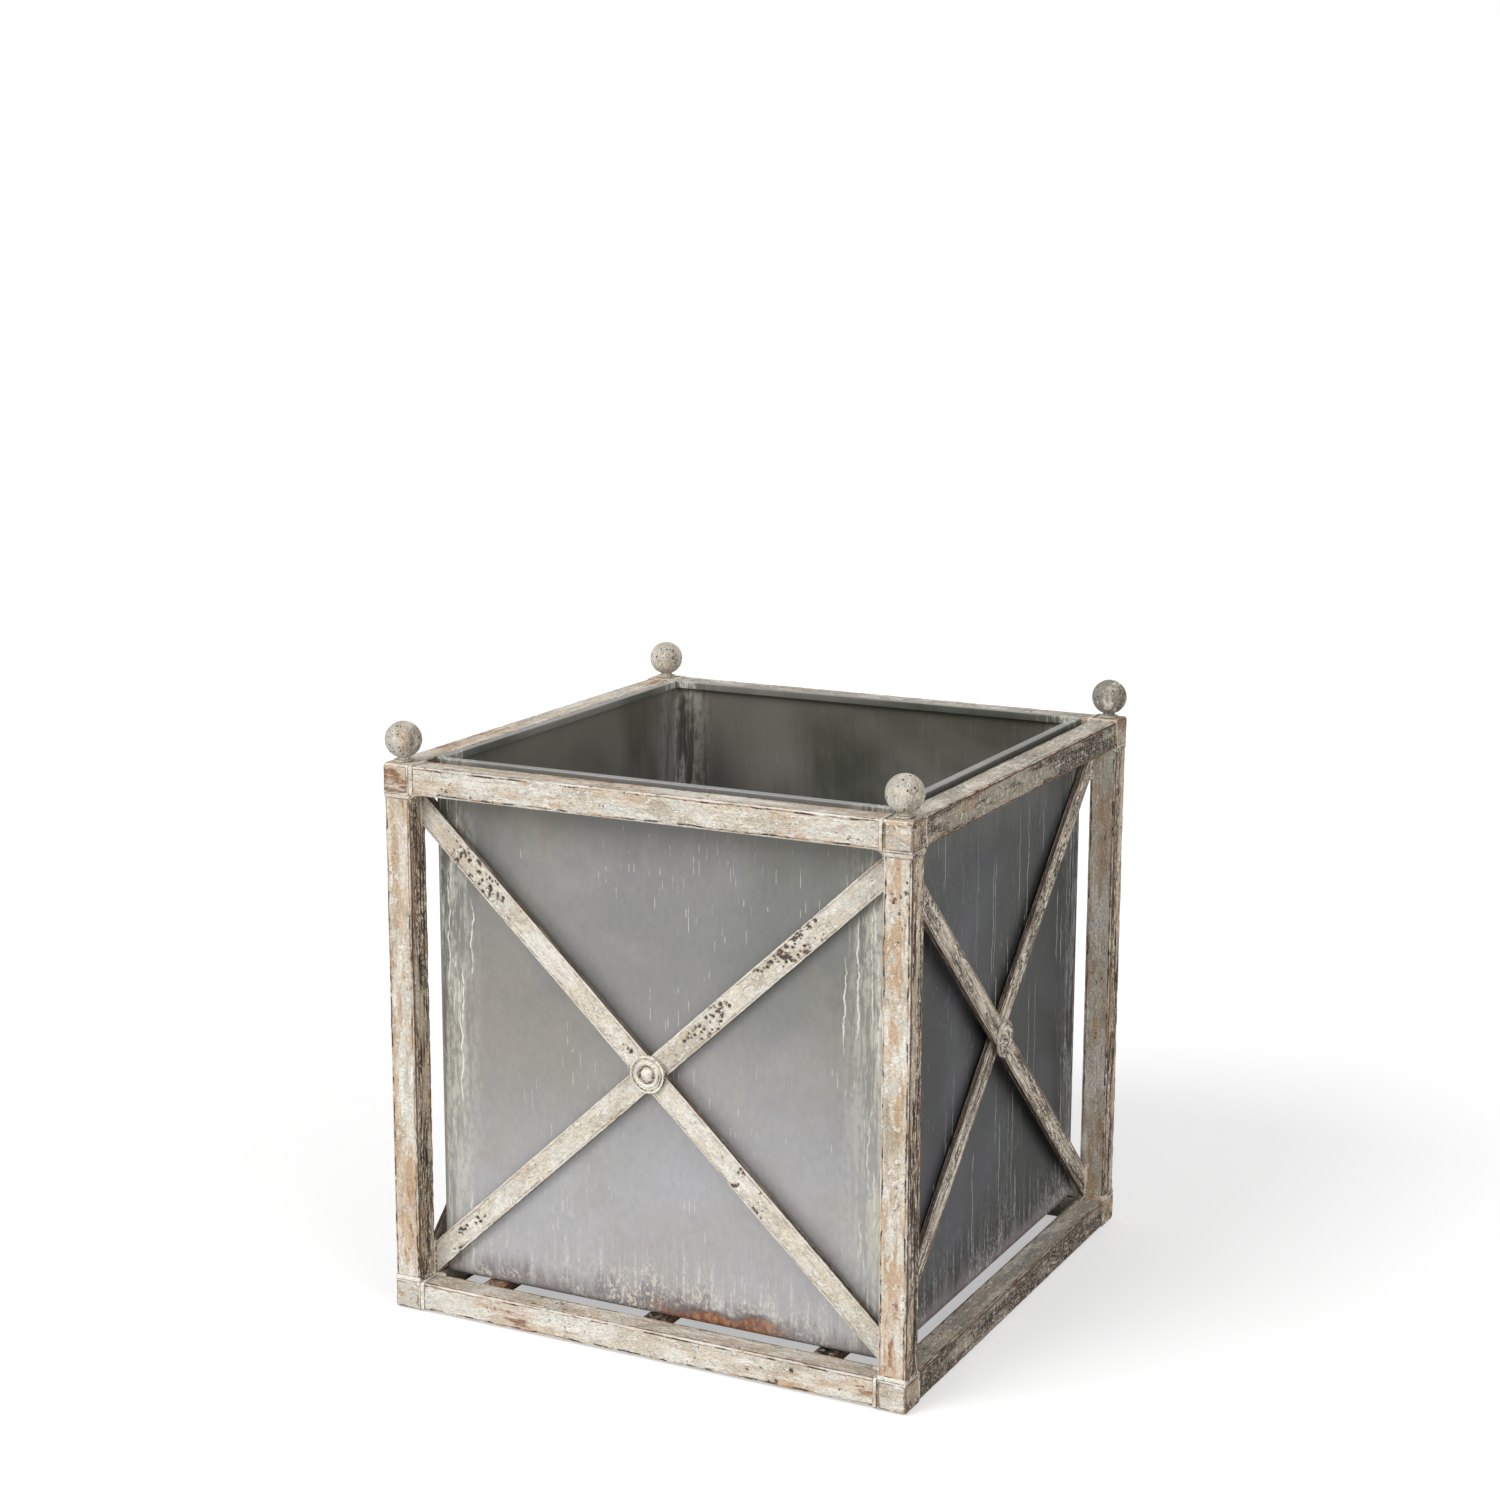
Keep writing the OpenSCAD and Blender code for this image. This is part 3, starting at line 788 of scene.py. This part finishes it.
def makeBlock(node, upward, seed):
    low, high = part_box(node)
    bm = solidBox(low, high)
    outer = Vector((high.x if high.x + low.x > 0 else low.x, high.y if high.y + low.y > 0 else low.y,
                    high.z if upward else low.z))

    def outside(e):
        middle = (e.verts[0].co + e.verts[1].co) / 2
        return sum(abs(middle[a] - outer[a]) < 1e-5 for a in range(3))

    bevel(bm, [e for e in bm.edges if outside(e) == 2], blockLook["round"], 4)
    bevel(bm, [e for e in bm.edges if outside(e) == 1 and e.calc_face_angle() > radians(60)], blockLook["ease"], 2)
    for a in range(3):
        span = high[a] - low[a] - 2 * blockLook["round"]
        cutEvenly(bm, a, low[a] + blockLook["round"], span, round(span / blockLook["grid"]))
    fillLayer(bm, "edge", lambda v: nearEdge(
        sorted(min(v.co[a] - low[a], high[a] - v.co[a]) for a in range(3))[1]))
    weather(bm, blockLook, seed)
    dress(node, bm, blockPaint)


for turn in range(4):
    makeBlock("top_block_" + corners[turn], True, 41 + turn)
    makeBlock("foot_block_" + corners[turn], False, 51 + turn)
print("blocks made")


# Braces: flat bars cut to the corners of the opening

barLook = {
    "width": 21.5 * mm, "round": 0.8 * mm, "bendSteps": 2, "strip": 0.9 * mm, "across": 1.1 * mm,
    "along": 1.2 * mm, "broad": 0.20 * mm, "broadScale": 60, "fine": 0.22 * mm, "fineScale": 260,
    "outerSwarms": [(-0.245, -0.190, 60), (0.10, 0.16, 15), (-0.06, -0.02, 5)],
    "innerSwarms": [(0.045, 0.105, 60), (0.135, 0.215, 90), (-0.28, -0.22, 20)],
    "thinSides": 1.0, "turnedAway": 0.8,
}
openLow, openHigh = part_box("inner_brace_front")
openHalf, openTall = openHigh.x, openHigh.z - openLow.z
openMiddle = (openHigh.z + openLow.z) / 2
diagonal = hypot(2 * openHalf, openTall)
barAngle = atan2(openTall, 2 * openHalf) - asin(barLook["width"] / diagonal)


def makeBrace(kind, turn, falls, seed):
    low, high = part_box(kind + "_front")
    halfWidth = barLook["width"] / 2
    bm = roundBar(Vector((-diagonal / 2, low.y, -halfWidth)), Vector((diagonal / 2, high.y, halfWidth)), 0,
                  barLook, seed)
    weather(bm, barLook, seed)
    swarms = barLook["outerSwarms"] if falls else barLook["innerSwarms"]
    eatPits(bm, scatterPits(swarms, halfWidth, low.y, random.Random(seed)))
    bm.normal_update()
    # The bars' thin sides take the side attribute in full: painted shade
    side = fillLayer(bm, "side", lambda v: barLook["thinSides"] * abs(v.normal.z))
    tilt = Matrix.Rotation(barAngle if falls else -barAngle, 4, "Y")
    bmesh.ops.transform(bm, matrix=Matrix.Translation((0, 0, openMiddle)) @ tilt, verts=bm.verts)
    for normal, point in (((1, 0, 0), openHalf), ((-1, 0, 0), openHalf), ((0, 0, 1), openHigh.z),
                          ((0, 0, -1), -openLow.z)):
        cut = cutPlane(bm, Vector(normal) * point, normal, 1e-6, clear=True)
        bmesh.ops.holes_fill(bm, edges=only(cut["geom_cut"], bmesh.types.BMEdge), sides=0)
    turnMesh(bm, turn)
    bm.normal_update()
    # Faces turned from the lamps darken further: painted shade
    for v in bm.verts:
        v[side] = max(v[side], barLook["turnedAway"] * shaded(v.normal))
    dress(kind + "_" + faces[turn], bm, barPaint)


for turn in range(4):
    makeBrace("outer_brace", turn, True, 61 + turn)
    makeBrace("inner_brace", turn, False, 71 + turn)
print("braces made")


# Rosettes and rivets over the crossings

rosetteLook = {
    "radius": 16 * mm, "rim": 3.0 * mm, "lip": 0.8 * mm, "ease": 0.3 * mm, "hole": 3.1 * mm, "steps": 96,
    "groove": [(14.1, 0), (13.9, 0.35), (13.3, 0.45), (12.8, 0.35), (12.5, 0)],
    "ring": 4.0 * mm, "ringMiddle": 9.75 * mm, "ringRound": 2.1 * mm, "seat": 2.2 * mm, "seatRadius": 7.0 * mm,
    "rivetHead": 5.75 * mm, "rivetRise": 2.4 * mm, "rivetShank": 3.0 * mm, "rivetSteps": 48,
    "tailRadius": 5.0 * mm, "tail": 0.8 * mm, "tailEase": 0.4 * mm,
    "broad": 0.08 * mm, "broadScale": 150, "fine": 0.08 * mm, "fineScale": 520,
    "soiledAt": (7.2 * mm, 13.3 * mm), "soiledHalf": 0.75 * mm, "soiled": 0.34,
}


def rosetteOutline(look):
    r, rim, lip, ease, hole, seat, seatR = (
        look[key] for key in ("radius", "rim", "lip", "ease", "hole", "seat", "seatRadius"))
    points = [(hole, 0), (r - ease, 0), (r, ease)] + arc((r - lip, rim - lip), lip, 0, 90, 5)
    points += [(across * mm, rim - deep * mm) for across, deep in look["groove"]]
    points += arc((look["ringMiddle"], look["ring"] - look["ringRound"]), look["ringRound"], 20, 160, 9)
    return points + [(seatR, rim), (seatR, seat), (hole, seat), (hole, 0)]


def rivetOutline(look):
    head, rise, seat = look["rivetHead"], look["rivetRise"], look["seat"]
    dome = (head * head + rise * rise) / (2 * rise)
    sweep = 90 - asin(min(1, head / dome)) * 180 / pi
    shank, tail, back = look["rivetShank"], look["tailRadius"], -2 * (openHigh.y - openLow.y)
    return arc((0, seat + rise - dome), dome, 90, sweep, 8) + [
        (shank, seat), (shank, back), (tail, back), (tail - look["tailEase"], back - look["tail"]),
        (0, back - look["tail"])]


def soiledRing(point, out):
    near = min(abs(point.cross(out).length - ring) for ring in rosetteLook["soiledAt"])
    return rosetteLook["soiled"] if point.dot(out) > 0 and near < rosetteLook["soiledHalf"] else 0.0


for turn in range(4):
    out = Matrix.Rotation(radians(90 * turn), 3, "Z") @ Vector((0, -1, 0))
    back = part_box("outer_brace_front")[0].y
    place = out * -back + Vector((0, 0, openMiddle))
    bm = spun(rosetteOutline(rosetteLook), rosetteLook["steps"], place, out)
    weather(bm, rosetteLook, 81 + turn)
    fillLayer(bm, "pitted", lambda v: soiledRing(v.co - place, out))
    dress("rosette_" + faces[turn], bm, rosettePaint, 50)
    bm = spun(rivetOutline(rosetteLook), rosetteLook["rivetSteps"], place, out)
    weather(bm, rosetteLook, 91 + turn)
    dress("rivet_" + faces[turn], bm, rosettePaint, 50)
print("rosettes made")


# Finials: pitted cast balls on turned necks

finialLook = {
    "neckRadius": 5.5 * mm, "stud": 4.1 * mm, "boreSpare": 0.2 * mm, "steps": 120, "arcSteps": 56,
    "washerEase": 0.3 * mm, "washerSteps": 64,
    "broad": 0.25 * mm, "broadScale": 110, "fine": 0.30 * mm, "fineScale": 420, "finer": 1.5,
    "pits": 60, "pitSize": (0.5, 1.3), "rubbed": ("back_right",), "turnedAway": 0.50, "cracked": 0.05,
}


def makeFinial(corner, seed):
    look = finialLook
    low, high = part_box("finial_ball_" + corner)
    middle = (low + high) / 2
    radius = (high.x - low.x) / 2
    ballMiddle = high.z - radius
    neck = look["neckRadius"]
    start = -90 + asin(neck / radius) * 180 / pi
    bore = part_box("finial_stud_" + corner)[1].z + look["boreSpare"]
    points = [(0, bore), (look["stud"], bore), (look["stud"], low.z), (neck, low.z)]
    points += arc((0, ballMiddle), radius, start, 90, look["arcSteps"])
    bm = spun([(r, z - low.z) for r, z in points], look["steps"], (middle.x, middle.y, low.z), (0, 0, 1))
    weather(bm, look, seed)
    layAlong(bm, 2, seed, look["finer"])
    rng = random.Random(seed)
    centres = []
    for _ in range(look["pits"]):
        way = Vector((rng.gauss(0, 1), rng.gauss(0, 1), rng.gauss(0, 1))).normalized()
        size = rng.uniform(*look["pitSize"]) * mm
        centres.append((Vector((middle.x, middle.y, ballMiddle)) + way * radius, size))
    eatPits(bm, centres)
    # The balls' faces turned from the lamps darken: painted shade, with a few cracks all round
    fillLayer(bm, "side", lambda v: max(look["cracked"], look["turnedAway"] * shaded(v.normal)))
    paint = rubbedPaint if corner in look["rubbed"] else finialPaint
    dress("finial_ball_" + corner, bm, paint, 60)

    low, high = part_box("finial_washer_" + corner)
    r, thick, ease, stud = (high.x - low.x) / 2, high.z - low.z, look["washerEase"], look["stud"]
    points = [(stud, 0), (r - ease, 0), (r, ease), (r, thick - ease), (r - ease, thick), (stud, thick), (stud, 0)]
    bm = spun(points, look["washerSteps"], (middle.x, middle.y, low.z), (0, 0, 1))
    dress("finial_washer_" + corner, bm, finialPaint)
    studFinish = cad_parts["finial_stud_" + corner].data.materials
    studFinish.clear()
    studFinish.append(bareSteel)


for turn in range(4):
    makeFinial(corners[turn], 101 + turn)
print("finials made")


# Welds: a bead round each tube where it meets its block

weldLook = {
    "width": 4.2 * mm, "rise": 1.05 * mm, "sunk": 0.6 * mm, "perSide": 14, "fillet": 7.5 * mm, "web": 13.0 * mm,
    "seam": 2.3 * mm, "corner": 12 * mm, "overrun": 2 * mm, "step": 0.7 * mm, "coin": 2.8 * mm, "ripple": 0.22,
    "inset": 1.4 * mm, "toe": 0.05 * mm, "soiled": 0.5, "soiledHalf": 0.45 * mm, "soiledReach": 48 * mm,
    "broad": 0.25 * mm, "broadScale": 260, "fine": 0.25 * mm, "fineScale": 620,
}


def makeBead(place, axis):
    wide, rise, sunk = weldLook["width"], weldLook["rise"], weldLook["sunk"]
    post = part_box("post_front_left")
    half = (post[1].x - post[0].x) / 2
    profile = [(-sunk, 0), (rise * 0.9, 0), (rise, wide * 0.25), (rise * 0.85, wide * 0.5),
               (rise * 0.45, wide * 0.8), (weldLook["toe"], wide), (-sunk, wide)]
    bm = sweepRing(half, tubeLook["round"], profile, weldLook["perSide"], 3)
    standOn(bm, place, axis)
    return bm


def joinInto(bm, extra):
    mesh = bpy.data.meshes.new("spare")
    extra.to_mesh(mesh)
    extra.free()
    bm.from_mesh(mesh)
    bpy.data.meshes.remove(mesh)


def makeSeam(start, end):  # a bead laid down like a row of coins, thinner at its ends
    way, radius = end - start, weldLook["seam"]
    bm = bmesh.new()
    bmesh.ops.create_cone(bm, cap_ends=True, segments=14, radius1=radius, radius2=radius, depth=way.length)
    divide(bm, 2, round(way.length / weldLook["step"]))
    for v in bm.verts:
        taper = min(1.0, 0.3 + 2.2 * sqrt(max(0.0, 0.25 - (v.co.z / way.length) ** 2)))
        swell = taper * (1 - weldLook["ripple"] * abs(sin(pi * v.co.z / weldLook["coin"])))
        v.co.x *= swell
        v.co.y *= swell
    standOn(bm, (start + end) / 2, way)
    return bm


def makeFillet(flip):  # a concave web of weld under the top rail
    r, sunk = weldLook["fillet"], weldLook["sunk"]
    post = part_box("post_front_left")
    bm = bmesh.new()
    outline = [(-sunk, sunk), (r, sunk)] + arc((r, -r), r, 90, 180, 6) + [(-sunk, -r)]
    face = bm.faces.new([bm.verts.new((x, 0, z)) for x, z in outline])
    thick = weldLook["web"]
    grown = bmesh.ops.extrude_face_region(bm, geom=[face])["geom"]
    bmesh.ops.translate(bm, verts=only(grown, bmesh.types.BMVert), vec=(0, thick, 0))
    divide(bm, 1, 5)
    for v in bm.verts:
        v.co.y -= 0.35 * sunk if 0 < v.co.y < thick else 0
    bmesh.ops.translate(bm, verts=bm.verts,
                        vec=(post[1].x, post[0].y + weldLook["inset"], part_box("top_rail_front")[0].z))
    if flip:
        bmesh.ops.scale(bm, vec=(-1, 1, 1), verts=bm.verts)
    return bm


for turn in range(4):
    bm = bmesh.new()
    tall = barLook["width"] / cos(barAngle) + weldLook["overrun"]
    for kind, sign in (("outer_brace", 1), ("inner_brace", -1)):
        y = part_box(kind + "_front")[0].y
        for x, z, down in ((-sign * openHalf, openHigh.z, -1), (sign * openHalf, openLow.z, 1)):
            inward = -1 if x > 0 else 1
            for end in ((x, y, z + down * tall), (x + inward * weldLook["corner"], y, z)):
                joinInto(bm, makeSeam(Vector((x, y, z)), Vector(end)))
    for flip in (False, True):
        joinInto(bm, makeFillet(flip))
    turnMesh(bm, turn)
    weather(bm, {**weldLook, "broad": 0.0}, 121 + turn)
    newPiece("weld_ends_" + faces[turn], bm, weldPaint, "frame", (), 60)


def soiledFoot(point, beads):  # a dark line where a bead runs out on its tube
    for place, axis in beads:
        way = point - Vector(place)
        off = abs(way.dot(Vector(axis)) - weldLook["width"])
        if way.length < weldLook["soiledReach"] and off < weldLook["soiledHalf"]:
            return weldLook["soiled"]
    return 0.0


for turn, corner in enumerate(corners):
    bm = bmesh.new()
    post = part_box("post_" + corner)
    x, y, _ = (post[0] + post[1]) / 2
    alongX = -1 if x > 0 else 1
    alongY = -1 if y > 0 else 1
    beads = [((x, y, post[0].z), (0, 0, 1)), ((x, y, post[1].z), (0, 0, -1))]
    for rail in ("top_rail_front", "bottom_rail_front"):
        low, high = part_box(rail)
        beads.append(((-alongX * high.x, y, (low.z + high.z) / 2), (alongX, 0, 0)))
        beads.append(((x, -alongY * high.x, (low.z + high.z) / 2), (0, alongY, 0)))
    for place, axis in beads:
        joinInto(bm, makeBead(place, axis))
    fillLayer(bm, "pitted", lambda v: soiledFoot(v.co, beads))
    weather(bm, weldLook, 111 + turn)
    newPiece("weld_beads_" + corner, bm, weldPaint, "frame", (), 60)
print("welds made")


# Liner: bent sheet, a little out of flat, with a folded rim and a pan

linerLook = {
    "radius": 7 * mm, "sheet": 1 * mm, "perSide": 40, "bendSteps": 8, "rows": 44,
    "bulge": 1.1 * mm, "bulgeScale": 7.0, "rim": 7.5 * mm, "fold": 0.5 * mm,
}


def makeLinerWall():
    low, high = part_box("liner_wall")
    tall = high.z - low.z
    sheet, rows = linerLook["sheet"], linerLook["rows"]
    outside = [(0, low.z + tall * i / rows) for i in range(rows + 1)]
    inside = [(-sheet, z) for _, z in reversed(outside)]
    bm = sweepRing(high.x, linerLook["radius"], outside + inside, linerLook["perSide"], linerLook["bendSteps"])
    for v in bm.verts:
        up = (v.co.z - low.z) / tall
        held = 4 * up * (1 - up)  # the sheet is held at the rim and the pan
        sway = 0.5 + 0.5 * noise.noise(v.co * linerLook["bulgeScale"])
        for wall, other in ((0, 1), (1, 0)):
            if abs(v.co[wall]) > high[wall] - 2 * sheet:
                flat = max(0.0, 1 - (abs(v.co[other]) / high[other]) ** 4)
                push = linerLook["bulge"] * sway * held * flat
                v.co[wall] -= push if v.co[wall] > 0 else -push
                break
    newPiece("liner_wall_sheet", bm, zincSheet, "liner", ["liner_wall"], 60)


def makeLinerPan():
    low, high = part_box("liner_pan")
    r, sheet = linerLook["radius"], linerLook["sheet"]
    step = low.z + r
    profile = arc((-r, step), r, -90, 0, 8) + [
        (0, step + sheet), (-sheet, step + sheet), (-sheet, high.z), (-2 * sheet, high.z), (-2 * sheet, step)]
    profile += arc((-r, step), r - sheet, 0, -90, 8)
    for end in (0, -1):
        profile[end] = (profile[end][0] + 0.01 * mm, profile[end][1])
    bm = sweepRing(high.x, r, profile, linerLook["perSide"], linerLook["bendSteps"], closed=False)
    rims = [e for e in bm.edges if e.is_boundary]
    for above in (False, True):
        loop = [e for e in rims if (e.verts[0].co.z > low.z + sheet / 2) == above]
        bmesh.ops.contextual_create(bm, geom=loop)
    newPiece("liner_pan_sheet", bm, zincPanSheet, "liner", ["liner_pan"])


def makeLinerRim():
    low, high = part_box("liner_rim")
    sheet, wide, fold = linerLook["sheet"], linerLook["rim"], linerLook["fold"]
    outer = arc((-fold, high.z - fold), fold, 0, 90, 4)
    inner = arc((-wide + fold, high.z - fold), fold, 90, 180, 4)
    profile = [(0, high.z - sheet)] + outer + inner + [
        (-wide, low.z), (-wide + sheet, low.z), (-wide + sheet, high.z - sheet)]
    bm = sweepRing(high.x, linerLook["radius"], profile, linerLook["perSide"], linerLook["bendSteps"])
    newPiece("liner_rim_sheet", bm, zincEdge, "liner", ["liner_rim"], 50)


makeLinerWall()
makeLinerPan()
makeLinerRim()
print("liner made")


# Floor, light and camera

stageLook = {
    "floorHalf": 60.0, "floorCamera": 0.58, "floorBounce": 0.50, "floorLift": 0.46, "fill": 0.52,
    "lamps": {
        "key": {"power": 2.15, "from": (-0.42, -0.80, 0.68), "soft": 34},
        "side": {"power": 1.6, "from": (0.90, -0.30, 0.30), "soft": 50},
    },
}
viewFrom = {
    "azimuth": 26.96, "elevation": 11.54, "roll": 0.08, "sensor": 36.0, "lens": 66.38,
    "place": (1.0507, -2.1054, 0.9505),
}


def showsBackground(tree):
    rays = addNode("ShaderNodeLightPath", {}, tree)
    return most(most(rays["Is Camera Ray"], rays["Is Glossy Ray"]), rays["Is Transmission Ray"])


def makeFloor():
    bm = bmesh.new()
    bmesh.ops.create_grid(bm, x_segments=1, y_segments=1, size=stageLook["floorHalf"])
    mesh = bpy.data.meshes.new("floor")
    bm.to_mesh(mesh)
    bm.free()
    showObject("floor", mesh)
    material = bpy.data.materials.new("pale_floor")
    tree = startTree(material)
    seen = showsBackground(tree)
    pale = grey(ramp(seen, 0, 1, stageLook["floorBounce"], stageLook["floorCamera"]))
    matt = addNode("ShaderNodeBsdfDiffuse", {"Color": pale})
    glow = addNode("ShaderNodeEmission", {"Strength": seen * stageLook["floorLift"]})
    both = addNode("ShaderNodeAddShader", {0: matt[0], 1: glow[0]})
    connect(both[0], tree.nodes.new("ShaderNodeOutputMaterial"), "Surface")
    mesh.materials.append(material)


def makeLight():
    world = bpy.data.worlds.new("studio")
    bpy.context.scene.world = world
    tree = startTree(world)
    power = ramp(showsBackground(tree), 0, 1, stageLook["fill"], 1)
    sky = addNode("ShaderNodeBackground", {"Color": (1, 1, 1, 1), "Strength": power})
    connect(sky[0], tree.nodes.new("ShaderNodeOutputWorld"), "Surface")

    for name, look in stageLook["lamps"].items():
        lamp = bpy.data.lights.new(name, "SUN")
        lamp.energy, lamp.angle = look["power"], radians(look["soft"])
        showObject(name, lamp).rotation_euler = Vector(look["from"]).to_track_quat("Z", "Y").to_euler()


def makeCamera():
    turn, tilt, roll = (radians(viewFrom[key]) for key in ("azimuth", "elevation", "roll"))
    back = Vector((sin(turn) * cos(tilt), -cos(turn) * cos(tilt), sin(tilt)))
    right = Vector((0, 0, 1)).cross(back).normalized()
    level = right * cos(roll) + back.cross(right) * sin(roll)
    lens = bpy.data.cameras.new("camera")
    lens.sensor_width, lens.lens = viewFrom["sensor"], viewFrom["lens"]
    camera = showObject("camera", lens)
    rotation = Matrix((level, back.cross(level), back)).transposed().to_4x4()
    camera.matrix_world = Matrix.Translation(viewFrom["place"]) @ rotation
    bpy.context.scene.camera = camera


makeFloor()
makeLight()
makeCamera()
bpy.context.scene.view_settings.view_transform = "Standard"
print("stage made")
